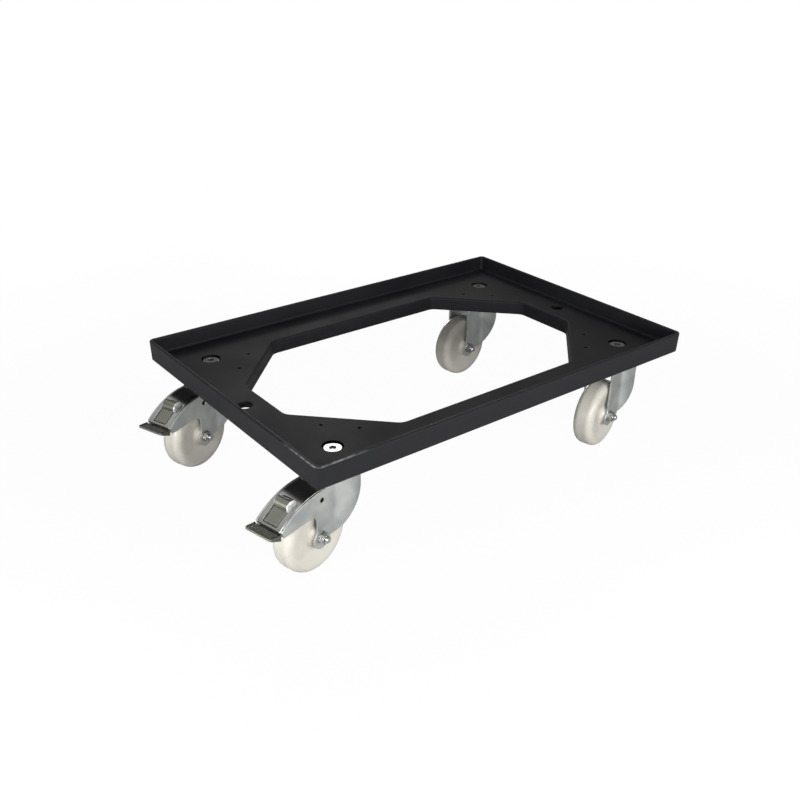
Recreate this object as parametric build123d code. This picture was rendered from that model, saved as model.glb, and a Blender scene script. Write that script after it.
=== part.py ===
from build123d import *
import os
from math import cos, radians, sin, sqrt

# Crate dolly: a moulded tray on four swivel casters, two of them braked.
# Millimetres, +Z up. The origin is on the floor, under the middle of the tray.
# +X is forward, so the braked casters are at the -X end and left is +Y.

# Tray
tray_length = 620.0
tray_width = 420.0
rim_height = 22.5
rim_thickness = 5.0
deck_thickness = 6.7
mould_draft = 2.0
tray_corner_radius = 8.0
pocket_corner_radius = 4.0
rim_edge_radius = 2.0
deck_edge_radius = 3.0
tray_foot_radius = 2.0

# Opening and its skirt
rail_width = 60.0
corner_cut = 102.0
opening_corner_radius = 16.0
opening_edge_radius = 3.0
skirt_thickness = 4.0
skirt_depth = 14.3
skirt_edge_radius = 1.2

# Holes in the deck
caster_inset = 62.0
head_recess_radius = 13.0
head_recess_depth = 5.0
small_hole_radius = 2.25
small_hole_far_inset = 111.5
small_hole_near_inset = 78.5
pull_hole_radius = 9.75
pull_hole_inset = 31.4
pull_collar_wall = 3.5
pull_collar_depth = 1.8

# Ribs and caster bosses under the deck
boss_margin = 2.0
boss_depth = 8.8
boss_wall = 3.5
boss_hub_radius = 16.0
boss_spokes = 8
rib_thickness = 3.0
rib_pitch = 60.0
rib_end_depth = 1.5
rib_edge_gap = 8.0
toward_middle = 225.0
short_rail_rib_spacing = 72.0

# Fixing bolt of each caster
bolt_radius = 5.0
bolt_clearance = 0.3
bolt_head_radius = 11.5
bolt_head_thickness = 3.0
bolt_head_edge_radius = 1.0
bolt_socket_across = 8.0
bolt_socket_depth = 2.0
bolt_end_reach = 3.5
bolt_end_chamfer = 0.6
nut_across = 17.0
nut_height = 8.0
thread_clearance = 0.05

# Swivel head
wheel_crown_gap = 16.0
cup_radius = 27.0
cup_thickness = 2.5
cup_depth = 8.5
cup_edge_radius = 2.0
crown_gap = 11.0
ball_clearance = 0.3
ball_side_gap = 1.9
ball_ring_chamfer = 1.5
kingpin_radius = 9.0
kingpin_flange_radius = 14.0
kingpin_flange_thickness = 3.7
running_clearance = 0.05

# Fork
sheet = 2.5
crown_thickness = 3.0
crown_edge_radius = 3.0
bell_margin = 3.0
bell_lead = 3.0
bell_blend_radius = 10.0
crown_rear_lead = 12.0
crown_shoulder = 2.0
crown_shoulder_radius = 4.0
axle_trail = 43.0
leg_end_radius = 12.5
leg_end_drop = 2.5
leg_root_radius = 4.0
leg_waist = 6.5
leg_waist_radius = 8.0
bell_front_drop = 12.0
bell_knee_lead = 23.5
bell_knee_drop = 3.5
bell_knee_radius = 12.0
plate_hole_radius = 3.3
plate_hole_lead = 2.0
plate_hole_drop = 13.3

# Brake extension of the fork's side plates
wing_tip_inset = 0.6
wing_tip_depth = 9.6
wing_tip_slant = 3.0
wing_root_rise = 3.0
wing_root_radius = 10.0
wing_tip_radius = 2.0
wing_below_cover = 0.8

# Wheel and axle
wheel_radius = 49.0
tread_width = 30.0
tread_edge_radius = 9.5
tread_side_gap = 3.0
hub_gap = 0.5
hub_radius = 9.0
hub_slope = 4.0
web_thickness = 22.0
rim_depth = 12.0
dish_radius = 14.0
hub_fillet_radius = 6.0
sleeve_radius = 6.5
axle_radius = 4.0
axle_clearance = 0.1
axle_head_across = 13.0
axle_head_height = 5.3
axle_nut_height = 6.5
axle_nut_flange_radius = 8.2
axle_nut_flange_thickness = 1.4
axle_end_reach = 4.5
axle_end_chamfer = 1.0

# Brake cover
cover_thickness = 1.5
cover_crest_lead = 2.0
cover_crest_drop = 5.0
cover_bend_surplus = 53.0
cover_front_gap = 1.0
cover_end_overhang = 13.8
cover_flange_depth = 14.0
cover_bend_land = 0.1
window_gap = 1.1
window_end_strip = 2.0
eye_window_gap = 1.8
eye_window_radius = 3.0

# Brake pedal, its pin and its shoe
pin_inside_tread = 12.8
pin_depth = 3.8
pin_radius = 1.6
eye_radius = 7.3
eye_rise = 0.2
eye_length = 20.0
pedal_sheet = 2.5
pedal_neck_width = 31.0
pedal_root_drop = 1.7
pedal_root_trail = 3.2
neck_drop = 8.8
neck_bend_inset = 4.5
foot_gap = 0.6
foot_rear_drop = 2.2
foot_front_rise = 1.8
foot_length = 16.1
foot_overlap = 0.25
foot_front_depth = 2.4
foot_corner_radius = 4.0
foot_edge_radius = 0.5
foot_lip = 1.5
foot_pan_depth = 1.3
foot_ridges = 4
foot_ridge_width = 1.2
foot_ridge_drop = 0.5
pad_width = 19.5
pad_eye_gap = 0.3
pad_rise = 0.9
pad_edge_radius = 0.8
shoe_width = 24.0
shoe_clearance = 0.35
shoe_upper_angle = 40.0
shoe_lower_angle = 29.0
shoe_root_start = 1.5
shoe_root_length = 11.0

# Edges within this distance of a height or a point are picked, cutters run past by the margin
pick_tolerance = 0.01
cut_margin = 1.0

# Casters: name, side of the tray along X and Y, trail direction, braked or not
casters = (
    ("brake_left", -1, 1, 199.6, True),
    ("brake_right", -1, -1, 193.2, True),
    ("plain_left", 1, 1, 187.5, False),
    ("plain_right", 1, -1, 194.5, False),
)

# Heights, stacked up from the floor
crown_under = 2 * wheel_radius + wheel_crown_gap
crown_top = crown_under + crown_thickness
caster_height = crown_top + crown_gap
deck_under = caster_height + boss_depth
deck_top = deck_under + deck_thickness
rim_top = deck_top + rim_height
skirt_bottom = deck_under - skirt_depth
head_seat = deck_top - head_recess_depth
kingpin_bottom = crown_under - ball_clearance - kingpin_flange_thickness

# Sizes of the tray and the swivel head that follow
opening_length = tray_length - 2 * rail_width
opening_width = tray_width - 2 * rail_width
boss_radius = cup_radius + boss_margin
bolt_hole_radius = bolt_radius + bolt_clearance
ball_radius = (crown_gap - cup_thickness - ball_clearance) / 2
ball_ring_radius = cup_radius - cup_thickness - ball_side_gap - ball_radius

# Sizes of the fork that follow
fork_inner_half = tread_width / 2 + tread_side_gap
fork_half = fork_inner_half + sheet
bell_radius = cup_radius + bell_margin
fork_front = bell_radius + bell_lead
crown_rear = axle_trail - crown_rear_lead

# Trail and height of the brake's pieces, which follow the wheel and the crown
tread_end_trail = axle_trail + wheel_radius
cover_crest_trail = axle_trail - cover_crest_lead
cover_crest_height = crown_top - cover_crest_drop
cover_bend_radius = wheel_radius + cover_bend_surplus
cover_center_height = cover_crest_height - cover_bend_radius
cover_end_trail = tread_end_trail + cover_end_overhang
wing_crest = cover_crest_height - wing_below_cover
wing_tip_trail = cover_end_trail - wing_tip_inset
pin_trail = tread_end_trail - pin_inside_tread
pad_top_trail = pin_trail + eye_radius + pad_eye_gap
neck_bend_trail = cover_end_trail - neck_bend_inset
foot_rear_trail = cover_end_trail + foot_gap
foot_front_trail = foot_rear_trail + foot_length
foot_width = 2 * (fork_half + foot_overlap)


def write(name, piece):
    export_step(piece, f"parts/{name}.step")


def caster_place(side_x, side_y, trail_direction=0.0):
    x = side_x * (tray_length / 2 - caster_inset)
    y = side_y * (tray_width / 2 - caster_inset)
    return Location((x, y, 0), (0, 0, trail_direction))


def side_profile(sketch, width):
    # A drawing in the trail and height directions, given a width across the caster
    return extrude(Plane.XZ * sketch, amount=width / 2, both=True)


def cover_height(trail, inset=0.0):
    # Height of the brake cover's curve, or of a curve that lies inside it
    reach = trail - cover_crest_trail
    return cover_center_height + sqrt((cover_bend_radius - inset) ** 2 - reach**2)


wing_bottom_height = cover_height(wing_tip_trail) - wing_tip_depth
wing_root_height = wing_bottom_height + wing_root_rise
pin_height = cover_height(pin_trail) - pin_depth
eye_height = cover_height(pin_trail) + eye_rise
neck_height = cover_height(cover_end_trail) - neck_drop
foot_rear_height = cover_height(cover_end_trail) - foot_rear_drop
foot_front_height = foot_rear_height + foot_front_rise


def opening_outline():
    x = opening_length / 2
    y = opening_width / 2
    corners = [(x, y - corner_cut), (x - corner_cut, y), (corner_cut - x, y), (-x, y - corner_cut)]
    corners += [(-cx, -cy) for cx, cy in corners]
    outline = Polygon(*corners, align=None)
    return fillet(outline.vertices(), opening_corner_radius)


def edges_at(piece, height):
    return piece.edges().filter_by_position(Axis.Z, height - pick_tolerance, height + pick_tolerance)


def in_opening(point):
    beyond_x = abs(point.X) - opening_length / 2
    beyond_y = abs(point.Y) - opening_width / 2
    return max(beyond_x, beyond_y) < pick_tolerance


def boss():
    # Cored round boss that a caster's cup is clamped against
    section = Circle(boss_radius) - Circle(boss_radius - boss_wall)
    section += Circle(boss_hub_radius)
    spoke_length = boss_radius - boss_wall / 2
    spoke = Pos(spoke_length / 2, 0) * Rectangle(spoke_length, rib_thickness)
    for index in range(boss_spokes):
        section += Rot(0, 0, index * 360 / boss_spokes) * spoke
    return extrude(Pos(0, 0, caster_height) * section, amount=boss_depth)


def gusset(start, span, bottom):
    # Rib that falls from full depth to almost nothing towards the tray's edge
    outline = Polygon(
        (start, deck_under),
        (start + span, deck_under),
        (start + span, deck_under - rib_end_depth),
        (start, bottom),
        align=None,
    )
    return extrude(Plane.XZ * outline, amount=rib_thickness / 2, both=True)


def corner_ribs():
    # Ribs from one boss to the two outer walls and to the skirt, in its own corner
    wall_span = caster_inset - rib_edge_gap - boss_radius + boss_wall
    outward = gusset(boss_radius - boss_wall, wall_span, caster_height)
    ribs = [Rot(0, 0, turn) * outward for turn in (0, 90)]
    to_skirt = (2 * rail_width + corner_cut - 2 * caster_inset) / sqrt(2) - skirt_thickness / 2
    length = to_skirt - boss_radius + boss_wall / 2
    inward = Rot(0, 0, toward_middle) * Pos(to_skirt - length / 2, 0, caster_height + boss_depth / 2)
    ribs.append(inward * Box(length, rib_thickness, boss_depth))
    return ribs


def deck_frame():
    plan = RectangleRounded(tray_length, tray_width, tray_corner_radius)
    pocket_plan = RectangleRounded(
        tray_length - 2 * rim_thickness,
        tray_width - 2 * rim_thickness,
        pocket_corner_radius,
    )
    tray = extrude(Pos(0, 0, rim_top) * plan, amount=-(rim_height + deck_thickness), taper=mould_draft)
    tray -= extrude(Pos(0, 0, rim_top) * pocket_plan, amount=-rim_height, taper=mould_draft)
    tray = fillet(tray.edges().group_by(Axis.Z)[-1], rim_edge_radius)
    tray = fillet(tray.edges().group_by(Axis.Z)[0], tray_foot_radius)
    tray = fillet(edges_at(tray, deck_top), deck_edge_radius)

    opening = opening_outline()
    skirt = extrude(Pos(0, 0, skirt_bottom) * offset(opening, skirt_thickness), amount=skirt_depth)
    tray += skirt
    tray -= extrude(Pos(0, 0, skirt_bottom) * opening, amount=rim_top - skirt_bottom)
    inside_edges = [edge for edge in edges_at(tray, deck_top) if in_opening(edge.center())]
    tray = fillet(inside_edges, opening_edge_radius)
    tray = fillet(tray.edges().group_by(Axis.Z)[0], skirt_edge_radius)

    gusset_start = opening_width / 2 + skirt_thickness / 2
    gusset_span = rail_width - skirt_thickness / 2 - rib_edge_gap
    gusset_bottom = skirt_bottom + skirt_edge_radius
    rib_count = int((opening_length - 2 * corner_cut) / rib_pitch) // 2
    ribs = []
    for index in range(-rib_count, rib_count + 1):
        for turn in (90, 270):
            rib = gusset(gusset_start, gusset_span, gusset_bottom)
            ribs.append(Pos(index * rib_pitch, 0, 0) * Rot(0, 0, turn) * rib)
    short_start = opening_length / 2 + skirt_thickness / 2
    for side in (-1, 1):
        for turn in (0, 180):
            place = Pos(0, side * short_rail_rib_spacing / 2, 0) * Rot(0, 0, turn)
            ribs.append(place * gusset(short_start, gusset_span, gusset_bottom))
    for _, side_x, side_y, _, _ in casters:
        turn = {(1, 1): 0, (-1, 1): 90, (-1, -1): 180, (1, -1): 270}[side_x, side_y]
        place = caster_place(side_x, side_y, turn)
        ribs.append(place * boss())
        ribs += [place * rib for rib in corner_ribs()]
    tray += ribs

    pull_holes = [Pos(side * (tray_length / 2 - pull_hole_inset), 0) for side in (-1, 1)]
    collar = extrude(Circle(pull_hole_radius + pull_collar_wall), amount=pull_collar_depth)
    tray += [place * Pos(0, 0, deck_under - pull_collar_depth) * collar for place in pull_holes]

    deck_height = deck_top - skirt_bottom
    cuts = []
    for _, side_x, side_y, _, _ in casters:
        place = caster_place(side_x, side_y)
        cuts.append(place * Pos(0, 0, head_seat) * extrude(Circle(head_recess_radius), amount=rim_height))
        cuts.append(place * Pos(0, 0, skirt_bottom) * extrude(Circle(bolt_hole_radius), amount=deck_height))
        for inset_x, inset_y in (
            (small_hole_far_inset, small_hole_near_inset),
            (small_hole_near_inset, small_hole_far_inset),
        ):
            x = side_x * (tray_length / 2 - inset_x)
            y = side_y * (tray_width / 2 - inset_y)
            cuts.append(Pos(x, y, skirt_bottom) * extrude(Circle(small_hole_radius), amount=deck_height))
    pull_hole = extrude(Circle(pull_hole_radius), amount=deck_height)
    cuts += [place * Pos(0, 0, skirt_bottom) * pull_hole for place in pull_holes]
    return tray - cuts


def hexagon(across):
    return RegularPolygon(across / 2, 6, major_radius=False)


def fixing_bolt():
    # Flat round head with a hex socket, sunk in the deck
    shank_length = head_seat - kingpin_bottom + nut_height + bolt_end_reach
    head = extrude(Circle(bolt_head_radius), amount=bolt_head_thickness)
    head = fillet(head.edges().group_by(Axis.Z)[-1], bolt_head_edge_radius)
    shank = extrude(Circle(bolt_radius), amount=-shank_length)
    shank = chamfer(shank.edges().group_by(Axis.Z)[0], bolt_end_chamfer)
    socket = Pos(0, 0, bolt_head_thickness - bolt_socket_depth) * hexagon(bolt_socket_across)
    return Pos(0, 0, head_seat) * (head + shank - extrude(socket, amount=bolt_socket_depth))


def fixing_nut():
    section = hexagon(nut_across) - Circle(bolt_radius + thread_clearance)
    return extrude(Pos(0, 0, kingpin_bottom) * section, amount=-nut_height)


def swivel_cup():
    cup = extrude(Pos(0, 0, caster_height) * Circle(cup_radius), amount=-cup_depth)
    cup = fillet(cup.edges().group_by(Axis.Z)[-1], cup_edge_radius)
    inside = Circle(cup_radius - cup_thickness)
    cup -= extrude(Pos(0, 0, caster_height - cup_depth) * inside, amount=cup_depth - cup_thickness)
    bore = Circle(kingpin_radius + thread_clearance)
    return cup - extrude(Pos(0, 0, caster_height) * bore, amount=-cup_thickness)


def swivel_bearing():
    # One ring in the room of the row of balls
    section = Circle(ball_ring_radius + ball_radius) - Circle(ball_ring_radius - ball_radius)
    ring = extrude(Pos(0, 0, crown_top + ball_clearance) * section, amount=2 * ball_radius)
    return chamfer(ring.edges().filter_by(GeomType.CIRCLE), ball_ring_chamfer)


def kingpin():
    pin = extrude(Pos(0, 0, kingpin_bottom) * Circle(kingpin_radius), amount=caster_height - kingpin_bottom)
    flange = Circle(kingpin_flange_radius)
    pin += extrude(Pos(0, 0, kingpin_bottom) * flange, amount=kingpin_flange_thickness)
    bore = Circle(bolt_hole_radius)
    return pin - extrude(Pos(0, 0, kingpin_bottom) * bore, amount=caster_height - kingpin_bottom)


def fork_plan(inset, rear):
    # Round bell about the kingpin, two straight plates behind it
    half = fork_half - inset
    bell = Pos(-bell_lead, 0) * Circle(bell_radius - inset)
    plates = Pos(rear / 2, 0) * Rectangle(rear, 2 * half)
    plan = bell + plates
    corners = [v for v in plan.vertices() if v.X < crown_rear]
    return fillet(corners, bell_blend_radius + inset)


def round_corner(outline, x, y, radius):
    # Rounds the one corner of a drawing that lies at x, y
    return fillet([v for v in outline.vertices() if abs(v.X - x) + abs(v.Y - y) < pick_tolerance], radius)


def leg_profile(braked):
    # Slanting lower edge of the bell, leg and axle end of a side plate, up to the crown
    front = -(fork_front + cut_margin)
    top = crown_top + cut_margin
    rear = axle_trail + leg_waist
    knee = (axle_trail - bell_knee_lead, wheel_radius - bell_knee_drop)
    corners = [
        (front, top),
        (front, crown_top - bell_front_drop),
        knee,
        (axle_trail, knee[1]),
        (rear, wheel_radius),
    ]
    if braked:
        shoulder = crown_rear + crown_shoulder
        corners += [(rear, wing_root_height), (cover_crest_trail, wing_root_height)]
        corners += [(cover_crest_trail, wing_crest), (shoulder, wing_crest), (shoulder, top)]
    else:
        corners.append((rear, top))
    outline = Polygon(*corners, align=None)
    outline = round_corner(outline, *knee, bell_knee_radius)
    end_height = wheel_radius - leg_end_drop
    outline += Pos(axle_trail, end_height) * Circle(leg_end_radius)
    leg_root = axle_trail - sqrt(leg_end_radius**2 - (knee[1] - end_height) ** 2)
    outline = round_corner(outline, leg_root, knee[1], leg_root_radius)
    waist = end_height + sqrt(leg_end_radius**2 - leg_waist**2)
    return round_corner(outline, rear, waist, leg_waist_radius)


def wing_profile():
    # Rear extension of a braked fork's side plates, under the cover's curve
    middle = (cover_crest_trail + wing_tip_trail) / 2
    top = ThreePointArc(
        (cover_crest_trail, wing_crest),
        (middle, cover_height(middle, wing_below_cover)),
        (wing_tip_trail, cover_height(wing_tip_trail, wing_below_cover)),
    )
    under = Polyline(
        top @ 1,
        (wing_tip_trail - wing_tip_slant, wing_bottom_height),
        (axle_trail + leg_waist, wing_root_height),
        (cover_crest_trail, wing_root_height),
        top @ 0,
    )
    outline = make_face(Curve() + [top, under])
    tip = [v for v in outline.vertices() if v.X > wing_tip_trail - wing_tip_slant - pick_tolerance]
    return fillet(tip, wing_tip_radius)


def plate_hole(clearance):
    # Round hole in a braked fork's side plates, and the wider one behind it in the cover's flanges
    place = Pos(axle_trail - plate_hole_lead, cover_crest_height - plate_hole_drop)
    return place * Circle(plate_hole_radius + clearance)


def fork(braked):
    rear = cut_margin + (wing_tip_trail if braked else axle_trail + leg_end_radius)
    bottom = wheel_radius - leg_end_drop - leg_end_radius - cut_margin
    shell = extrude(Pos(0, 0, bottom) * fork_plan(0, rear), amount=crown_top - bottom)
    shell = fillet(shell.edges().group_by(Axis.Z)[-1], crown_edge_radius)
    shell -= extrude(Pos(0, 0, bottom) * fork_plan(sheet, rear + cut_margin), amount=crown_under - bottom)
    slot_length = rear + cut_margin - crown_rear
    slot = Pos(crown_rear + slot_length / 2, 0, crown_under) * Rectangle(slot_length, 2 * fork_inner_half)
    shell -= extrude(slot, amount=crown_thickness)
    profile = leg_profile(braked)
    if braked:
        profile += wing_profile()
        profile = round_corner(profile, axle_trail + leg_waist, wing_root_height, wing_root_radius)
        profile = round_corner(profile, crown_rear + crown_shoulder, wing_crest, crown_shoulder_radius)
    shell &= side_profile(profile, 2 * fork_front)
    bore = Circle(kingpin_radius + running_clearance)
    shell -= extrude(Pos(0, 0, crown_under) * bore, amount=crown_thickness)
    holes = Pos(axle_trail, wheel_radius) * Circle(axle_radius + axle_clearance)
    if braked:
        holes += plate_hole(0)
    return shell - side_profile(holes, 2 * fork_front)


def axle_turned(section):
    # Revolves a drawing of radius and offset across the caster about the axle
    body = revolve(Plane.XY * section, axis=Axis.Y)
    return Pos(axle_trail, 0, wheel_radius) * body


def wheel():
    hub_half = fork_inner_half - hub_gap
    tread_half = tread_width / 2
    web_half = web_thickness / 2
    bore = sleeve_radius + running_clearance
    shoulder = wheel_radius - tread_edge_radius
    rim_inner_radius = wheel_radius - rim_depth
    edge_middle = tread_edge_radius / sqrt(2)
    side = Polyline(
        (wheel_radius, 0),
        (wheel_radius, tread_half - tread_edge_radius),
    )
    edge = ThreePointArc(
        side @ 1,
        (shoulder + edge_middle, tread_half - tread_edge_radius + edge_middle),
        (shoulder, tread_half),
    )
    face = Polyline(
        edge @ 1,
        (rim_inner_radius, tread_half),
        (hub_radius + hub_slope, web_half),
        (hub_radius, hub_half),
        (bore, hub_half),
        (bore, 0),
        side @ 0,
    )
    half = make_face(Curve() + [side, edge, face])
    half = round_corner(half, rim_inner_radius, tread_half, dish_radius)
    half = round_corner(half, hub_radius + hub_slope, web_half, hub_fillet_radius)
    return axle_turned(half + mirror(half, about=Plane.XZ))


def axle_sleeve():
    bore = axle_radius + axle_clearance
    section = Rectangle(sleeve_radius - bore, 2 * fork_inner_half)
    return axle_turned(Pos((sleeve_radius + bore) / 2, 0) * section)


def across_caster(section, start, length):
    # Extrudes a drawing across the caster, from start towards the nut's side
    plane = Plane(origin=(axle_trail, start, wheel_radius), x_dir=(1, 0, 0), z_dir=(0, 1, 0))
    return extrude(plane * section, amount=length)


def axle_bolt():
    end = fork_half + axle_nut_height + axle_end_reach
    shank = across_caster(Circle(axle_radius), -fork_half, fork_half + end)
    shank = chamfer(shank.edges().group_by(Axis.Y)[-1], axle_end_chamfer)
    return shank + across_caster(hexagon(axle_head_across), -fork_half, -axle_head_height)


def axle_nut():
    nut = across_caster(hexagon(axle_head_across), fork_half, axle_nut_height)
    nut += across_caster(Circle(axle_nut_flange_radius), fork_half, axle_nut_flange_thickness)
    return nut - across_caster(Circle(axle_radius + thread_clearance), fork_half, axle_nut_height)


def cover_sector(outer_inset, inner_inset):
    # Slice between two curves that lie inside the cover's own, from end to end
    outer = Circle(cover_bend_radius - outer_inset) - Circle(cover_bend_radius - inner_inset)
    start = crown_rear + cover_front_gap
    length = cover_end_trail - start
    window = Pos(start + length / 2, cover_crest_height - length / 2) * Rectangle(length, length)
    return (Pos(cover_crest_trail, cover_center_height) * outer) & window


def brake_cover():
    outer_width = 2 * fork_inner_half
    cover = side_profile(cover_sector(0, cover_thickness), outer_width)
    flange = cover_sector(0, cover_flange_depth) & wing_profile()
    cover += side_profile(flange, outer_width) - side_profile(flange, outer_width - 2 * cover_thickness)
    bends = [
        edge
        for edge in cover.edges().filter_by(GeomType.CIRCLE)
        if abs(edge.radius - cover_bend_radius) < pick_tolerance
    ]
    cover = fillet(bends, cover_thickness - cover_bend_land)
    window_end = cover_end_trail - window_end_strip
    eye_window = Box(2 * (eye_radius + eye_window_gap), eye_length + 2 * eye_window_gap, cover_flange_depth)
    eye_window = fillet(eye_window.edges().filter_by(Axis.Z), eye_window_radius)
    cover -= Pos(pin_trail, 0, cover_height(pin_trail)) * eye_window
    pad_window = Box(window_end - pin_trail, pad_width + 2 * window_gap, 2 * cover_flange_depth)
    cover -= Pos((window_end + pin_trail) / 2, 0, cover_height(window_end)) * pad_window
    holes = Pos(pin_trail, pin_height) * Circle(pin_radius) + plate_hole(window_gap)
    return cover - side_profile(holes, outer_width)


def pedal_pin():
    return side_profile(Pos(pin_trail, pin_height) * Circle(pin_radius), 2 * fork_inner_half)


def strip(points, thickness, radius):
    # Bent sheet seen from its edge
    return offset(FilletPolyline(*points, radius=radius), thickness / 2, side=Side.BOTH)


def foot_pan():
    # Shallow pan in front of the cover, with a rounded front and ridges across its floor
    under_neck = neck_height - pedal_sheet / 2
    outline = Polygon(
        (foot_rear_trail, foot_rear_height),
        (foot_front_trail, foot_front_height),
        (foot_front_trail, foot_front_height - foot_front_depth),
        (foot_rear_trail, under_neck),
        align=None,
    )
    pan = side_profile(outline, foot_width)
    front_corners = pan.edges().filter_by(Axis.Z).group_by(Axis.X)[-1]
    pan = fillet(front_corners, foot_corner_radius)
    slope = foot_front_rise / foot_length
    floor_front_trail = foot_front_trail - foot_lip
    floor_front_height = foot_front_height - slope * foot_lip - foot_pan_depth
    room = Polygon(
        (foot_rear_trail, foot_rear_height - foot_pan_depth),
        (floor_front_trail, floor_front_height),
        (floor_front_trail, foot_front_height + cut_margin),
        (foot_rear_trail, foot_front_height + cut_margin),
        align=None,
    )
    pocket = side_profile(room, foot_width - 2 * foot_lip)
    pocket_corners = pocket.edges().filter_by(Axis.Z).group_by(Axis.X)[-1]
    pan -= fillet(pocket_corners, foot_corner_radius - foot_lip)
    rim = max(pan.faces().filter_by(GeomType.PLANE), key=lambda face: face.center().Z)
    pan = fillet(rim.edges(), foot_edge_radius)
    pitch = (foot_length - foot_lip) / (foot_ridges + 1)
    ridge_height = foot_pan_depth - foot_ridge_drop
    for index in range(1, foot_ridges + 1):
        along = index * pitch
        floor = foot_rear_height + slope * along - foot_pan_depth
        ridge = Box(foot_ridge_width, foot_width - 2 * foot_corner_radius, 2 * ridge_height)
        pan += Pos(foot_rear_trail + along, 0, floor) * ridge
    return pan


def brake_pedal():
    window_end = cover_end_trail - window_end_strip
    root = (pin_trail + pedal_root_trail, pin_height - pedal_root_drop)
    bend = (neck_bend_trail, neck_height)
    neck_end = (foot_rear_trail + pedal_sheet, neck_height)
    neck = make_face(strip([root, bend, neck_end], pedal_sheet, pedal_sheet))
    pedal = side_profile(neck, pedal_neck_width) + foot_pan()
    eye = Pos(pin_trail, eye_height) * Circle(eye_radius)
    pedal += side_profile(eye, eye_length)
    pad_side = Polygon(
        (pad_top_trail, cover_height(pad_top_trail) + pad_rise),
        (window_end, cover_height(window_end) + pad_rise),
        (window_end, neck_height),
        bend,
        root,
        align=None,
    )
    # The pad's end is round about the pin, so that it clears the window as the pedal lifts
    pad_reach = Vector(window_end - pin_trail, cover_height(window_end) - pin_height).length - window_gap
    pad_side &= Pos(pin_trail, pin_height) * Circle(pad_reach)
    pad = side_profile(pad_side, pad_width)
    top_face = max(pad.faces().filter_by(GeomType.PLANE), key=lambda face: face.normal_at().Z)
    pedal += fillet(top_face.edges(), pad_edge_radius)
    bore = Pos(pin_trail, pin_height) * Circle(pin_radius + running_clearance)
    return pedal - side_profile(bore, eye_length)


def brake_shoe():
    # Block under the rocker with a face that follows the tread
    root = Vector(pin_trail + pedal_root_trail, pin_height - pedal_root_drop)
    along = (Vector(neck_bend_trail, neck_height) - root).normalized()
    below = Vector(along.Y, -along.X) * (pedal_sheet / 2)
    top_start = root + along * shoe_root_start + below
    top_end = top_start + along * shoe_root_length
    face_radius = wheel_radius + shoe_clearance
    tread = [
        (axle_trail + face_radius * cos(radians(angle)), wheel_radius + face_radius * sin(radians(angle)))
        for angle in (shoe_upper_angle, (shoe_upper_angle + shoe_lower_angle) / 2, shoe_lower_angle)
    ]
    face = ThreePointArc(*tread)
    sides = Polyline(face @ 1, (top_end.X, top_end.Y), (top_start.X, top_start.Y), face @ 0)
    return side_profile(make_face(Curve() + [face, sides]), shoe_width)


os.makedirs("parts", exist_ok=True)
write("deck_frame", deck_frame())
places = [caster_place(side_x, side_y) for _, side_x, side_y, _, _ in casters]
write("fixing_bolts", Compound(children=[place * fixing_bolt() for place in places]))
write("fixing_nuts", Compound(children=[place * fixing_nut() for place in places]))
for name, side_x, side_y, trail_direction, braked in casters:
    place = caster_place(side_x, side_y, trail_direction)
    pieces = {
        "swivel_cup": swivel_cup(),
        "swivel_bearing": swivel_bearing(),
        "kingpin": kingpin(),
        "fork": fork(braked),
        "wheel": wheel(),
        "axle_sleeve": axle_sleeve(),
        "axle_bolt": axle_bolt(),
        "axle_nut": axle_nut(),
    }
    if braked:
        pieces["brake_cover"] = brake_cover()
        pieces["pedal_pin"] = pedal_pin()
        pieces["brake_pedal"] = brake_pedal()
        pieces["brake_shoe"] = brake_shoe()
    for piece_name, piece in pieces.items():
        write(f"{piece_name}_{name}", place * piece)
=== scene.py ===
import bpy
from math import cos, pi, radians, sin
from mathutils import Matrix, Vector


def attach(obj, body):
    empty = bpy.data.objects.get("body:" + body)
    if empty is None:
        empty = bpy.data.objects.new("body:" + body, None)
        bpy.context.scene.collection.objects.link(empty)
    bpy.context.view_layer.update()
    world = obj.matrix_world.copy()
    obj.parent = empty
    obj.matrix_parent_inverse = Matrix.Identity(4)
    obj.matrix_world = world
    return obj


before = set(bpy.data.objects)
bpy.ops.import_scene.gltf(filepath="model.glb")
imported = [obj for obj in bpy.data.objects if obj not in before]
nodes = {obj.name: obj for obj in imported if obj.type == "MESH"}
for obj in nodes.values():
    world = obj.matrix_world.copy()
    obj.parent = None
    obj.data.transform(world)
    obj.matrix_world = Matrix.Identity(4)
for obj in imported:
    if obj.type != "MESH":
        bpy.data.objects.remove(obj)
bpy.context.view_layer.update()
bpy.ops.object.select_all(action="DESELECT")
print("frame loaded,", len(nodes), "nodes")

# where each caster stands, and the way it trails, in metres and degrees
casterPlaces = {
    "brake_left": {"kingpin": (-0.248, 0.148), "trail": 199.6},
    "brake_right": {"kingpin": (-0.248, -0.148), "trail": 193.2},
    "plain_left": {"kingpin": (0.248, 0.148), "trail": 187.5},
    "plain_right": {"kingpin": (0.248, -0.148), "trail": 194.5},
}
brakedNames = [name for name in casterPlaces if name.startswith("brake_")]
axleReach = 0.043
axleHeight = 0.049


def casterPoint(name, reach=0.0, height=0.0):
    # a point in the caster's middle plane, along the trail and above the floor
    kingpin = casterPlaces[name]["kingpin"]
    turn = radians(casterPlaces[name]["trail"])
    return (kingpin[0] + reach * cos(turn), kingpin[1] + reach * sin(turn), height)


def casterTurn(name):
    return (0, 0, radians(casterPlaces[name]["trail"]))


# node helpers

mixFirst, mixSecond, mixResult = 6, 7, 2  # the colour sockets of a Mix node go by number
vectorMath = "ShaderNodeVectorMath"


def addNode(tree, kind, place, **settings):
    node = tree.nodes.new(kind)
    node.location = place
    for name, value in settings.items():
        setattr(node, name, value)
    return node


def feed(tree, source, socket):
    # an output is linked to the socket, a plain value is set on it
    if isinstance(source, bpy.types.NodeSocket):
        tree.links.new(source, socket)
    else:
        socket.default_value = source


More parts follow.
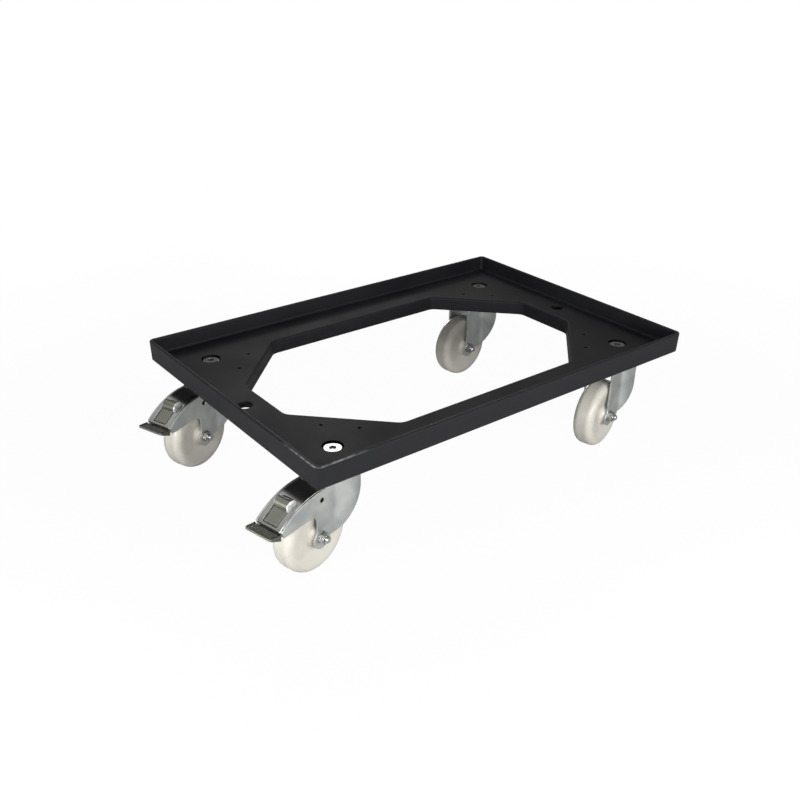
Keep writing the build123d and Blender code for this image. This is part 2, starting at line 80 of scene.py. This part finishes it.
def addMath(tree, place, operation, *sources, kind="ShaderNodeMath"):
    node = addNode(tree, kind, place, operation=operation)
    for source, socket in zip(sources, node.inputs):
        feed(tree, source, socket)
    return node.outputs["Value"]


def addNoise(tree, place, coords, scale, **values):
    node = addNode(tree, "ShaderNodeTexNoise", place)
    feed(tree, coords, node.inputs["Vector"])
    feed(tree, scale, node.inputs["Scale"])
    for name, value in values.items():
        node.inputs[name].default_value = value
    return node.outputs["Fac"]


def ramp(tree, place, value, low, high, start=0.0, stop=1.0):
    # what runs from start to stop comes out from low to high
    node = addNode(tree, "ShaderNodeMapRange", place)
    sources = {"Value": value, "From Min": start, "From Max": stop, "To Min": low, "To Max": high}
    for name, source in sources.items():
        feed(tree, source, node.inputs[name])
    return node.outputs["Result"]


def mixColour(tree, place, first, second, factor):
    node = addNode(tree, "ShaderNodeMix", place, data_type="RGBA")
    for number, colour in ((mixFirst, first), (mixSecond, second)):
        feed(tree, colour + (1,) if isinstance(colour, tuple) else colour, node.inputs[number])
    feed(tree, factor, node.inputs["Factor"])
    return node.outputs[mixResult]


def addBump(tree, place, height, strength, depth, normal=None):
    node = addNode(tree, "ShaderNodeBump", place)
    node.inputs["Strength"].default_value = strength
    node.inputs["Distance"].default_value = depth
    tree.links.new(height, node.inputs["Height"])
    if normal is not None:
        tree.links.new(normal, node.inputs["Normal"])
    return node.outputs["Normal"]


def splitCoords(tree, place, coords):
    node = addNode(tree, "ShaderNodeSeparateXYZ", place)
    tree.links.new(coords, node.inputs["Vector"])
    return node.outputs


def turnCoords(tree, place, coords, name, centre):
    # coordinates from a point of the caster, with X along its trail
    node = addNode(tree, "ShaderNodeMapping", place, vector_type="TEXTURE")
    node.inputs["Location"].default_value = centre
    node.inputs["Rotation"].default_value = casterTurn(name)
    tree.links.new(coords, node.inputs["Vector"])
    return node.outputs["Vector"]


def startGroup(name, inputs, outputs):
    # inputs hold a number each, after the coordinates that every group takes
    group = bpy.data.node_groups.new(name, "ShaderNodeTree")
    sockets = group.interface
    sockets.new_socket("Vector", in_out="INPUT", socket_type="NodeSocketVector")
    for socketName, default in inputs.items():
        socket = sockets.new_socket(socketName, in_out="INPUT", socket_type="NodeSocketFloat")
        socket.default_value = default
    for socketName, kind in outputs.items():
        sockets.new_socket(socketName, in_out="OUTPUT", socket_type="NodeSocket" + kind)
    entry = addNode(group, "NodeGroupInput", (-800, 0))
    leave = addNode(group, "NodeGroupOutput", (800, 0))
    return group, entry.outputs, leave.inputs


def placeGroup(tree, group, place, coords, **values):
    node = addNode(tree, "ShaderNodeGroup", place, node_tree=group)
    tree.links.new(coords, node.inputs["Vector"])
    for name, value in values.items():
        node.inputs[name].default_value = value
    return node.outputs


def startMaterial(name):
    material = bpy.data.materials.new(name)
    material.use_nodes = True
    tree = material.node_tree
    shader = tree.nodes["Principled BSDF"]
    shader.location = (600, 0)
    tree.nodes["Material Output"].location = (900, 0)
    coords = addNode(tree, "ShaderNodeTexCoord", (-1200, 0))
    return material, tree, shader, coords.outputs["Object"]


# shared effects

mouldGrainSetup = {"grainDetail": 2.0, "cloudDetail": 4.0, "cloudSpread": (0.3, 0.7)}


def makeMouldGrain(setup):
    group, entry, leave = startGroup(
        "mouldGrain", {"Grain": 900.0, "Cloud": 14.0}, {"Tone": "Float", "Height": "Float"})
    links = group.links
    coords = entry["Vector"]
    grain = addNoise(group, (-300, 150), coords, entry["Grain"], Detail=setup["grainDetail"])
    cloud = addNoise(group, (-300, -150), coords, entry["Cloud"], Detail=setup["cloudDetail"])
    links.new(ramp(group, (0, -150), cloud, 0.0, 1.0, *setup["cloudSpread"]), leave["Tone"])
    links.new(grain, leave["Height"])
    return group


softEdgeSetup = {"samples": 6, "turned": (0.75, 0.99), "spots": (0.35, 0.65)}


def makeSoftEdge(setup):
    # rounds the shading of an edge, and gives a broken mask along it
    group, entry, leave = startGroup(
        "softEdge", {"Radius": 0.0005, "Breakup": 120.0}, {"Mask": "Float", "Normal": "Vector"})
    links = group.links
    rounded = addNode(group, "ShaderNodeBevel", (-500, 150), samples=setup["samples"])
    links.new(entry["Radius"], rounded.inputs["Radius"])
    flat = addNode(group, "ShaderNodeNewGeometry", (-500, -50))
    facing = addMath(group, (-250, 50), "DOT_PRODUCT",
                     rounded.outputs["Normal"], flat.outputs["Normal"], kind=vectorMath)
    edge = ramp(group, (0, 50), facing, 1.0, 0.0, *setup["turned"])
    noise = addNoise(group, (-250, -250), entry["Vector"], entry["Breakup"])
    spots = ramp(group, (0, -250), noise, 0.0, 1.0, *setup["spots"])
    links.new(addMath(group, (250, 0), "MULTIPLY", edge, spots), leave["Mask"])
    links.new(rounded.outputs["Normal"], leave["Normal"])
    return group


platingSetup = {
    "cloudDetail": 5.0,
    "cloudBend": 0.6,
    "cloudSpread": (0.3, 0.7),
    "dotSize": 0.25,
    "fineDetail": 3.0,
}


def makePlating(setup):
    # cloudy tint and fine specks of a zinc coat
    group, entry, leave = startGroup(
        "plating", {"Cloud": 30.0, "Speck": 700.0},
        {"Tint": "Float", "Speck": "Float", "Height": "Float"})
    links = group.links
    coords = entry["Vector"]
    cloud = addNoise(group, (-400, 200), coords, entry["Cloud"],
                     Detail=setup["cloudDetail"], Distortion=setup["cloudBend"])
    speck = addNode(group, "ShaderNodeTexVoronoi", (-400, -100))
    links.new(coords, speck.inputs["Vector"])
    links.new(entry["Speck"], speck.inputs["Scale"])
    fine = addNoise(group, (-400, -400), coords, entry["Speck"], Detail=setup["fineDetail"])
    dots = ramp(group, (-100, -100), speck.outputs["Distance"], 1.0, 0.0, 0.0, setup["dotSize"])
    links.new(ramp(group, (-100, 200), cloud, 0.0, 1.0, *setup["cloudSpread"]), leave["Tint"])
    links.new(dots, leave["Speck"])
    links.new(fine, leave["Height"])
    return group


mouldGrain = makeMouldGrain(mouldGrainSetup)
softEdge = makeSoftEdge(softEdgeSetup)
plating = makePlating(platingSetup)
print("shared effects ready")

# finishes

trayLook = {
    "dark": (0.0098, 0.0102, 0.0124),
    "light": (0.0143, 0.0148, 0.0176),
    # pale colour for edge wear, and for the rim line near the front corner that is partly a painted
    # highlight
    "wornAndHighlit": (0.24, 0.24, 0.245),
    "gloss": 0.2,
    "roughLow": 0.44,
    "roughHigh": 0.58,
    "grain": 1100.0,
    "cloud": 11.0,
    "grainStrength": 0.5,
    "grainDepth": 0.00003,
    "edgeRadius": 0.0006,
    "edgeBreakup": 90.0,
    "edgeWear": 0.03,
    "rimHalf": (0.31, 0.21),
    "rimTop": 0.166,
    "rimBand": 0.0020,
    "rimCorner": 0.008,
    # the rim line near the front corner: scuff wear plus a painted highlight
    "highlightWearCorner": (-0.31, -0.21, 0.166),
    "highlightWearReach": (0.040, 0.072),
    "highlightWearSpots": 170.0,
    "highlightWearDetail": 3.0,
    "highlightWearLeast": 0.25,
    "highlightWearSpread": (0.36, 0.60),
}
# very dark, rough finish for the discs that paint the shadow inside the plate holes
holeShadeLook = dict(
    trayLook, dark=(0.004, 0.004, 0.004), light=(0.006, 0.006, 0.006), wornAndHighlit=(0.01, 0.01, 0.01),
    gloss=0.05, roughLow=0.8, roughHigh=0.95)


def addRimWearAndHighlight(tree, coords, look):
    # a broken pale line on the outer edge of the rim near the front corner, partly scuff wear and
    # partly a painted highlight along the rounded edge
    corner, band, rimTop = look["rimCorner"], look["rimBand"], look["rimTop"]
    parts = splitCoords(tree, (-1000, -700), coords)
    squares = []
    for axis, half in zip("XY", look["rimHalf"]):
        size = addMath(tree, (-900, -700), "ABSOLUTE", parts[axis])
        past = addMath(tree, (-750, -700), "SUBTRACT", size, half - corner)
        held = addMath(tree, (-600, -700), "MAXIMUM", past, 0.0)
        squares.append(addMath(tree, (-450, -700), "POWER", held, 2.0))
    reach = addMath(tree, (-150, -700), "SQRT", addMath(tree, (-300, -700), "ADD", *squares))
    outer = ramp(tree, (0, -700), reach, 0.0, 1.0, corner - band, corner - band / 2)
    top = ramp(tree, (-600, -900), parts["Z"], 0.0, 1.0, rimTop - band, rimTop - band / 2)
    away = addMath(tree, (-800, -1100), "DISTANCE", coords, look["highlightWearCorner"], kind=vectorMath)
    near = ramp(tree, (-600, -1100), away, 1.0, 0.0, *look["highlightWearReach"])
    noise = addNoise(tree, (-800, -1300), coords, look["highlightWearSpots"], Detail=look["highlightWearDetail"])
    spots = ramp(tree, (-600, -1300), noise, look["highlightWearLeast"], 1.0, *look["highlightWearSpread"])
    wearAndHighlight = outer
    for place, factor in ((-200, top), (0, near), (200, spots)):
        wearAndHighlight = addMath(tree, (place, -800), "MULTIPLY", wearAndHighlight, factor)
    return wearAndHighlight


def makeTrayPlastic(name, look):
    material, tree, shader, coords = startMaterial(name)
    links = tree.links
    grain = placeGroup(tree, mouldGrain, (-800, 100), coords,
                       Grain=look["grain"], Cloud=look["cloud"])
    edge = placeGroup(tree, softEdge, (-800, -250), coords,
                      Radius=look["edgeRadius"], Breakup=look["edgeBreakup"])
    tone = mixColour(tree, (-400, 250), look["dark"], look["light"], grain["Tone"])
    # pale line on the rim near the front corner: scuff wear plus a painted highlight along its
    # rounded edge
    rimWearAndHighlight = addRimWearAndHighlight(tree, coords, look)
    wearAndHighlight = addMath(tree, (-300, -400), "MULTIPLY_ADD", edge["Mask"], look["edgeWear"], rimWearAndHighlight)
    links.new(mixColour(tree, (-100, 200), tone, look["wornAndHighlit"], wearAndHighlight), shader.inputs["Base Color"])
    rough = ramp(tree, (-400, 0), grain["Tone"], look["roughLow"], look["roughHigh"])
    links.new(rough, shader.inputs["Roughness"])
    bump = addBump(tree, (200, -250), grain["Height"],
                   look["grainStrength"], look["grainDepth"], edge["Normal"])
    links.new(bump, shader.inputs["Normal"])
    shader.inputs["Specular IOR Level"].default_value = look["gloss"]
    return material


wheelLook = {
    "ivory": (0.80, 0.757, 0.667),
    "pale": (0.85, 0.82, 0.742),
    "rubbed": (0.55, 0.52, 0.45),
    "rubbedShare": 0.12,
    "treadReach": (0.0475, 0.0489),
    "roughLow": 0.24,
    "roughHigh": 0.34,
    "grain": 500.0,
    "cloud": 22.0,
    "ringRate": 5200.0,
    "ringStrength": 0.15,
    "ringDepth": 0.00002,
    "lightThrough": 0.12,
    "lightDepth": (0.004, 0.0035, 0.003),
}


def makeWheelNylon(name, look):
    material, tree, shader, coords = startMaterial("wheelNylon_" + name)
    links = tree.links
    turned = turnCoords(tree, (-1000, 0), coords, name, casterPoint(name, axleReach, axleHeight))
    grain = placeGroup(tree, mouldGrain, (-750, 200), turned,
                       Grain=look["grain"], Cloud=look["cloud"])
    tone = mixColour(tree, (-400, 250), look["ivory"], look["pale"], grain["Tone"])
    # the running face is a little greyer than the sides
    parts = splitCoords(tree, (-750, -100), turned)
    across = addNode(tree, "ShaderNodeCombineXYZ", (-550, -100))
    links.new(parts["X"], across.inputs["X"])
    links.new(parts["Z"], across.inputs["Z"])
    reach = addMath(tree, (-350, -100), "LENGTH", across.outputs["Vector"], kind=vectorMath)
    tread = ramp(tree, (-150, -100), reach, 0.0, look["rubbedShare"], *look["treadReach"])
    links.new(mixColour(tree, (100, 200), tone, look["rubbed"], tread), shader.inputs["Base Color"])
    rough = ramp(tree, (-150, 50), grain["Tone"], look["roughLow"], look["roughHigh"])
    links.new(rough, shader.inputs["Roughness"])
    # faint turning rings
    phase = addMath(tree, (-350, -350), "MULTIPLY", reach, look["ringRate"])
    rings = addMath(tree, (-150, -350), "SINE", phase)
    bump = addBump(tree, (250, -300), rings, look["ringStrength"], look["ringDepth"])
    links.new(bump, shader.inputs["Normal"])
    shader.inputs["Subsurface Weight"].default_value = look["lightThrough"]
    shader.inputs["Subsurface Radius"].default_value = look["lightDepth"]
    return material


zincSheetLook = {
    "cool": (0.405, 0.445, 0.445),
    "warm": (0.60, 0.605, 0.575),
    "spot": (0.30, 0.33, 0.33),
    # edge: a pale colour laid along the edges by the edge mask, a painted highlight
    "edge": (0.90, 0.91, 0.89),
    "cloud": 34.0,
    "speck": 620.0,
    "speckAmount": 0.3,
    "roughLow": 0.32,
    "roughHigh": 0.48,
    "coatStrength": 0.3,
    "coatDepth": 0.00001,
    "edgeRadius": 0.0009,
    "edgeBreakup": 200.0,
    "metallic": 0.85,
}
coverZincLook = dict(
    zincSheetLook, cool=(0.335, 0.34, 0.33), warm=(0.375, 0.37, 0.35), edge=(0.52, 0.52, 0.50),
    speckAmount=0.12, roughLow=0.14, roughHigh=0.22, edgeRadius=0.0006, metallic=0.95)
brightZincLook = dict(
    zincSheetLook, cool=(0.74, 0.76, 0.78), warm=(0.78, 0.77, 0.73), edge=(0.92, 0.92, 0.92),
    roughLow=0.08, roughHigh=0.18, edgeRadius=0.0003, metallic=1.0)
nutZincLook = dict(
    brightZincLook, cool=(0.42, 0.44, 0.46), warm=(0.50, 0.49, 0.46), edge=(0.75, 0.75, 0.75),
    roughLow=0.04, roughHigh=0.07)
capZincLook = dict(
    brightZincLook, cool=(0.88, 0.89, 0.90), warm=(0.90, 0.90, 0.88),
    roughLow=0.26, roughHigh=0.36, metallic=0.6)
headZincLook = dict(
    brightZincLook, cool=(0.30, 0.305, 0.30), warm=(0.36, 0.35, 0.33), edge=(0.5, 0.5, 0.5),
    roughLow=0.10, roughHigh=0.16)
pedalSteelLook = dict(
    zincSheetLook, cool=(0.21, 0.215, 0.185), warm=(0.265, 0.26, 0.22), spot=(0.17, 0.17, 0.15),
    edge=(0.80, 0.81, 0.76), roughLow=0.30, roughHigh=0.44, edgeRadius=0.0011, metallic=0.7)
bearingSteelLook = dict(
    zincSheetLook, cool=(0.50, 0.51, 0.53), warm=(0.52, 0.52, 0.52), roughLow=0.18, roughHigh=0.28)
shoeGrime = {
    "colour": (0.10, 0.105, 0.09),
    "share": 0.75,
    "reach": (0.1055, 0.1075),
    "lip": (0.1205, 0.1212),
}


def addShoeGrime(tree, coords, colour, caster, grime):
    # the foot plate, far out along the trail, is darkened by shoes up to its lip
    turned = turnCoords(tree, (-800, 600), coords, caster, casterPoint(caster))
    along = splitCoords(tree, (-600, 600), turned)["X"]
    share = ramp(tree, (-400, 600), along, 0.0, grime["share"], *grime["reach"])
    lip = ramp(tree, (-400, 850), along, 1.0, 0.0, *grime["lip"])
    both = addMath(tree, (-200, 700), "MULTIPLY", share, lip)
    return mixColour(tree, (0, 600), colour, grime["colour"], both)


def makePlated(name, look, caster=None, grime=None):
    material, tree, shader, coords = startMaterial(name)
    links = tree.links
    coat = placeGroup(tree, plating, (-800, 150), coords, Cloud=look["cloud"], Speck=look["speck"])
    edge = placeGroup(tree, softEdge, (-800, -250), coords,
                      Radius=look["edgeRadius"], Breakup=look["edgeBreakup"])
    tint = mixColour(tree, (-450, 300), look["cool"], look["warm"], coat["Tint"])
    speckAmount = ramp(tree, (-450, 50), coat["Speck"], 0.0, look["speckAmount"])
    specked = mixColour(tree, (-150, 250), tint, look["spot"], speckAmount)
    # the pale edge colour is a painted highlight along the edges
    colour = mixColour(tree, (150, 200), specked, look["edge"], edge["Mask"])
    if grime:
        colour = addShoeGrime(tree, coords, colour, caster, grime)
    links.new(colour, shader.inputs["Base Color"])
    rough = ramp(tree, (-150, 0), coat["Tint"], look["roughLow"], look["roughHigh"])
    links.new(rough, shader.inputs["Roughness"])
    bump = addBump(tree, (250, -250), coat["Height"],
                   look["coatStrength"], look["coatDepth"], edge["Normal"])
    links.new(bump, shader.inputs["Normal"])
    shader.inputs["Metallic"].default_value = look["metallic"]
    return material


trayPlastic = makeTrayPlastic("trayPlastic", trayLook)
holeShadeBlack = makeTrayPlastic("holeShadeBlack", holeShadeLook)
zincSheet = makePlated("zincSheet", zincSheetLook)
coverZinc = makePlated("coverZinc", coverZincLook)
brightZinc = makePlated("brightZinc", brightZincLook)
nutZinc = makePlated("nutZinc", nutZincLook)
capZinc = makePlated("capZinc", capZincLook)
headZinc = makePlated("headZinc", headZincLook)
pedalSteel = makePlated("pedalSteel", pedalSteelLook)
bearingSteel = makePlated("bearingSteel", bearingSteelLook)
finishOf = {
    "deck_frame": trayPlastic,
    "fixing_bolts": headZinc,
    "fixing_nuts": brightZinc,
    "swivel_cup": zincSheet,
    "swivel_bearing": bearingSteel,
    "kingpin": zincSheet,
    "fork": zincSheet,
    "axle_sleeve": bearingSteel,
    "axle_bolt": nutZinc,
    "axle_nut": nutZinc,
    "brake_cover": coverZinc,
    "pedal_pin": brightZinc,
    "brake_shoe": pedalSteel,
}
for name, node in nodes.items():
    if name.startswith("wheel_"):
        finish = makeWheelNylon(name[len("wheel_"):], wheelLook)
    elif name.startswith("brake_pedal_"):
        caster = name[len("brake_pedal_"):]
        finish = makePlated("pedalSteel_" + caster, pedalSteelLook, caster, shoeGrime)
    else:
        finish = next(look for start, look in finishOf.items() if name.startswith(start))
    node.data.materials.clear()
    node.data.materials.append(finish)
print("finishes on", len(nodes), "nodes")

# small pieces on the casters, modelled along the trail, across the caster and up

mergeGap = 0.000002  # points closer than this become one
outlineSides = 4
softenAngle = radians(40)
smoothAngle = radians(35)
upright = 0.9  # a face whose normal rises more than this is a top


def deselectAll():
    bpy.ops.object.select_all(action="DESELECT")


def selectOnly(piece):
    deselectAll()
    piece.select_set(True)
    bpy.context.view_layer.objects.active = piece


def bakePlace():
    bpy.ops.object.transform_apply(location=True, rotation=True, scale=True)


def turnProfile(piece, turns=1.0, rise=0.0, steps=48):
    # spins the outline about Z, with a rise for a thread
    spin = piece.modifiers.new("turn", "SCREW")
    spin.angle = 2 * pi * turns
    spin.screw_offset = rise
    spin.steps = int(steps * turns)
    spin.render_steps = int(steps * turns)
    spin.use_merge_vertices = rise == 0
    spin.merge_threshold = mergeGap  # the default is wider than the ring
    bpy.ops.object.modifier_apply(modifier=spin.name)


def softenEdges(piece, width, segments=3):
    soft = piece.modifiers.new("soften", "BEVEL")
    soft.width = width
    soft.segments = segments
    soft.limit_method = "ANGLE"
    soft.angle_limit = softenAngle
    bpy.ops.object.modifier_apply(modifier=soft.name)


def closeShell():
    bpy.ops.object.mode_set(mode="EDIT")
    bpy.ops.mesh.select_all(action="SELECT")
    bpy.ops.mesh.remove_doubles(threshold=mergeGap)
    bpy.ops.mesh.fill_holes(sides=outlineSides)
    bpy.ops.mesh.select_all(action="SELECT")
    bpy.ops.mesh.normals_make_consistent(inside=False)
    bpy.ops.object.mode_set(mode="OBJECT")
    bpy.ops.object.shade_smooth_by_angle(angle=smoothAngle)


def startOutline(reach, height, width, depth, turn=0.0):
    # a four-sided outline beside the Z axis, with no face in it
    deselectAll()
    bpy.ops.mesh.primitive_plane_add(
        size=1, location=(reach, 0, height), rotation=(pi / 2, turn, 0))
    piece = bpy.context.object
    piece.scale = (width, depth, 1)
    bakePlace()
    bpy.ops.object.mode_set(mode="EDIT")
    bpy.ops.mesh.select_all(action="SELECT")
    bpy.ops.mesh.delete(type="ONLY_FACE")
    bpy.ops.object.mode_set(mode="OBJECT")
    return piece


def startDisc(setup):
    # a round plate, left in edit mode with its top selected
    deselectAll()
    bpy.ops.mesh.primitive_cylinder_add(
        vertices=setup["sides"], radius=setup["radius"], depth=setup["thick"])
    piece = bpy.context.object
    bpy.ops.object.mode_set(mode="EDIT")
    bpy.ops.mesh.select_mode(type="FACE")
    bpy.ops.mesh.select_all(action="DESELECT")
    bpy.ops.object.mode_set(mode="OBJECT")
    for face in piece.data.polygons:
        face.select = face.normal.z > upright
    bpy.ops.object.mode_set(mode="EDIT")
    return piece


def insetTop(width, rise):
    bpy.ops.mesh.inset(thickness=width)
    bpy.ops.transform.translate(value=(0, 0, rise))


def layAcross(piece, reach, across, height, side=1):
    # the piece's own Z points across the caster, to one side or the other
    piece.rotation_euler = (-side * pi / 2, 0, 0)
    piece.location = (reach, across, height)
    bakePlace()


def copyToCasters(piece, label, names, bodyStart, finish):
    for name in names:
        selectOnly(piece)
        bpy.ops.object.duplicate()
        copy = bpy.context.object
        copy.name = label + "_" + name
        copy.location = casterPoint(name)
        copy.rotation_euler = casterTurn(name)
        bakePlace()
        copy.data.materials.clear()
        copy.data.materials.append(finish)
        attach(copy, bodyStart + name)
    selectOnly(piece)
    bpy.ops.object.delete()


lockRingSetup = {
    "middle": 0.00495, "wall": 0.0017, "height": 0.0011, "soften": 0.0004,
    "across": 0.0270,
}


def makeLockRing(setup):
    # collar of the lock nut, round the bolt
    piece = startOutline(setup["middle"], setup["height"] / 2, setup["wall"], setup["height"])
    turnProfile(piece)
    softenEdges(piece, setup["soften"])
    closeShell()
    layAcross(piece, axleReach, setup["across"], axleHeight)
    return piece


boltThreadSetup = {
    "radius": 0.00372, "ridge": 0.00076, "pitch": 0.00125, "turns": 1.6,
    "across": 0.0286,
}


def makeBoltThread(setup):
    # the bolt's end past the nut, with the outline on its corner for a ridge
    piece = startOutline(setup["radius"], 0, setup["ridge"], setup["ridge"], pi / 4)
    turnProfile(piece, setup["turns"], setup["pitch"] * setup["turns"])
    closeShell()
    layAcross(piece, axleReach, setup["across"], axleHeight)
    return piece


barrelCapSetup = {
    "sides": 56, "radius": 0.0082, "thick": 0.0016,
    "rim": 0.0013, "crown": 0.0003, "soften": 0.0005,
    "slotWidth": 0.0014, "slotDepth": 0.0013, "slotTurn": -40.0,
    "reach": 0.0792, "height": 0.10478, "barrelHalf": 0.0100, "sink": 0.0001,
}
farCapSetup = dict(barrelCapSetup, radius=0.0064)


def cutSlot(piece, setup):
    # a narrow slot right across the top, by a cutter longer than the cap is wide
    deselectAll()
    top = setup["thick"] / 2 + 2 * setup["crown"]
    bpy.ops.mesh.primitive_cube_add(
        size=1, location=(0, 0, top), rotation=(0, 0, radians(setup["slotTurn"])))
    cutter = bpy.context.object
    cutter.scale = (3 * setup["radius"], setup["slotWidth"], 2 * setup["slotDepth"])
    bakePlace()
    selectOnly(piece)
    slot = piece.modifiers.new("slot", "BOOLEAN")
    slot.operation = "DIFFERENCE"
    slot.object = cutter
    bpy.ops.object.modifier_apply(modifier=slot.name)
    selectOnly(cutter)
    bpy.ops.object.delete()
    selectOnly(piece)


def makeBarrelCap(setup, side):
    # polished end of the pedal's barrel, crowned in two steps
    piece = startDisc(setup)
    insetTop(setup["rim"], setup["crown"])
    insetTop(setup["rim"], setup["crown"] / 3)
    bpy.ops.object.mode_set(mode="OBJECT")
    softenEdges(piece, setup["soften"])
    cutSlot(piece, setup)
    closeShell()
    across = setup["barrelHalf"] - setup["sink"] + setup["thick"] / 2
    layAcross(piece, setup["reach"], side * across, setup["height"], side)
    return piece


holeShadeDiscSetup = {
    "sides": 40, "radius": 0.00325, "thick": 0.0012,
    "rim": 0.0007, "sink": 0.0005, "soften": 0.0002,
    "reach": 0.041, "height": 0.0987, "across": 0.0187,
}


def makeHoleShadeDisc(setup, side):
    # dark disc inside the small hole of a braked plate, a painted shadow for the shade inside the
    # hole
    piece = startDisc(setup)
    insetTop(setup["rim"], -setup["sink"])
    bpy.ops.object.mode_set(mode="OBJECT")
    softenEdges(piece, setup["soften"])
    closeShell()
    layAcross(piece, setup["reach"], side * setup["across"], setup["height"], side)
    return piece


ring = makeLockRing(lockRingSetup)
copyToCasters(ring, "lockRing", casterPlaces, "caster_", nutZinc)
thread = makeBoltThread(boltThreadSetup)
copyToCasters(thread, "boltThread", casterPlaces, "caster_", nutZinc)
for side, sideName, capSetup in ((1, "Near", barrelCapSetup), (-1, "Far", farCapSetup)):
    cap = makeBarrelCap(capSetup, side)
    copyToCasters(cap, "barrelCap" + sideName, brakedNames, "pedal_", capZinc)
# dark discs in the plate holes: painted shadow
for side, sideName in ((1, "Near"), (-1, "Far")):
    shadeDisc = makeHoleShadeDisc(holeShadeDiscSetup, side)
    copyToCasters(shadeDisc, "holeShadeDisc" + sideName, brakedNames, "caster_", holeShadeBlack)
print("lock rings, bolt threads, barrel caps and hole plugs on")

# floor, light and camera

stageSetup = {
    "floorSize": 80.0,
    "floorSeen": 1.0,
    "floorBounce": 0.2,
    "glowNear": 0.97,
    "glowReach": (0.45, 1.1),
    "skyFill": 0.02,
    "skyBands": ((0.0, 1.0), (0.08, 1.0), (0.28, 0.22), (0.55, 0.22), (0.72, 0.9), (1.0, 0.9)),
}


def backgroundRay(tree, place):
    # one for rays that see the background straight, in a mirror or through glass
    path = addNode(tree, "ShaderNodeLightPath", place).outputs
    straight = path["Is Camera Ray"]
    either = addMath(tree, (place[0] + 200, place[1]), "MAXIMUM", straight, path["Is Glossy Ray"])
    seen = addMath(tree, (place[0] + 400, place[1]), "MAXIMUM", either, path["Is Transmission Ray"])
    return seen, straight


def makeFloor(setup):
    bpy.ops.mesh.primitive_plane_add(size=setup["floorSize"])
    floor = bpy.context.object
    floor.name = "studioFloor"
    material = bpy.data.materials.new("paleFloor")
    material.use_nodes = True
    tree = material.node_tree
    links = tree.links
    tree.nodes.remove(tree.nodes["Principled BSDF"])
    seen, straight = backgroundRay(tree, (-1100, 400))
    shade = ramp(tree, (-300, 400), seen, setup["floorBounce"], setup["floorSeen"])
    paint = addNode(tree, "ShaderNodeBsdfDiffuse", (0, 100))
    links.new(shade, paint.inputs["Color"])
    glow = addNode(tree, "ShaderNodeEmission", (0, -100))
    # far from the trolley the floor is plain white, close by it takes the shadow
    coords = addNode(tree, "ShaderNodeTexCoord", (-1100, 0)).outputs["Object"]
    away = addMath(tree, (-900, 0), "LENGTH", coords, kind=vectorMath)
    # mirrors see the shadow at its full depth, the camera a faint one
    near = ramp(tree, (-700, -250), straight, 0.0, setup["glowNear"])
    share = ramp(tree, (-450, 0), away, near, 1.0, *setup["glowReach"])
    blend = addNode(tree, "ShaderNodeMixShader", (300, 0))
    links.new(addMath(tree, (-200, 0), "MULTIPLY", seen, share), blend.inputs["Fac"])
    links.new(paint.outputs["BSDF"], blend.inputs[1])
    links.new(glow.outputs["Emission"], blend.inputs[2])
    links.new(blend.outputs["Shader"], tree.nodes["Material Output"].inputs["Surface"])
    floor.data.materials.append(material)


def makeWorld(setup):
    # white backdrop, with a greyer ceiling that metal and wheels mirror
    world = bpy.data.worlds.new("studioWorld")
    bpy.context.scene.world = world
    world.use_nodes = True
    tree = world.node_tree
    sky = tree.nodes["Background"]
    sky.inputs["Color"].default_value = (1, 1, 1, 1)
    coords = addNode(tree, "ShaderNodeTexCoord", (-1300, -300)).outputs["Generated"]
    height = splitCoords(tree, (-1100, -300), coords)["Z"]
    bands = addNode(tree, "ShaderNodeValToRGB", (-900, -300))
    stops = bands.color_ramp.elements
    for band in setup["skyBands"][1:-1]:
        stops.new(band[0])
    for stop, (place, level) in zip(stops, setup["skyBands"]):
        stop.position = place
        stop.color = (level, level, level, 1)
    tree.links.new(height, bands.inputs["Fac"])
    seen, straight = backgroundRay(tree, (-1300, 200))
    mirrored = addMath(tree, (-600, -200), "MAXIMUM", bands.outputs["Color"], straight)
    tree.links.new(ramp(tree, (-300, 0), seen, setup["skyFill"], mirrored), sky.inputs["Strength"])


lamps = {
    "softFront": {"place": (-0.36, -0.88, 0.29), "aim": (-0.05, -0.05, 0.1),
                  "size": (0.45, 0.14), "power": 3.7},
    "softLeft": {"place": (-0.9, -0.2, 0.24), "aim": (-0.05, -0.05, 0.1),
                 "size": (0.45, 0.14), "power": 3.25},
    "softRight": {"place": (0.14, -0.76, 0.26), "aim": (0.2, -0.15, 0.08),
                  "size": (0.35, 0.12), "power": 1.9},
    "softBack": {"place": (0.60, 0.85, 0.15), "aim": (0.05, 0.05, 0.08),
                 "size": (0.45, 0.12), "power": 3.4},
    "backGlow": {"place": (1.70, 2.82, 2.2), "aim": (-0.1, 0, 0.1),
                 "size": (0.8, 0.8), "power": 7.5},
}


def makeLamps(setup):
    for name, lamp in setup.items():
        bpy.ops.object.light_add(type="AREA", location=lamp["place"])
        light = bpy.context.object
        light.name = name
        light.data.energy = lamp["power"]
        light.data.shape = "RECTANGLE"
        light.data.size, light.data.size_y = lamp["size"]
        aim = Vector(lamp["aim"]) - light.location
        light.rotation_euler = aim.to_track_quat("-Z", "Y").to_euler()


cameraSetup = {
    "place": (-0.75553, -0.91168, 0.67651),
    "turn": (62.6644, -0.8273, -37.9537),
    "lens": 41.462,
    "sensor": 36.0,
}


def makeCamera(setup):
    turn = [radians(angle) for angle in setup["turn"]]
    bpy.ops.object.camera_add(location=setup["place"], rotation=turn)
    camera = bpy.context.object
    camera.data.lens = setup["lens"]
    camera.data.sensor_width = setup["sensor"]
    bpy.context.scene.camera = camera


makeFloor(stageSetup)
makeWorld(stageSetup)
makeLamps(lamps)
makeCamera(cameraSetup)
bpy.context.scene.view_settings.view_transform = "Standard"
print("stage, light and camera set")
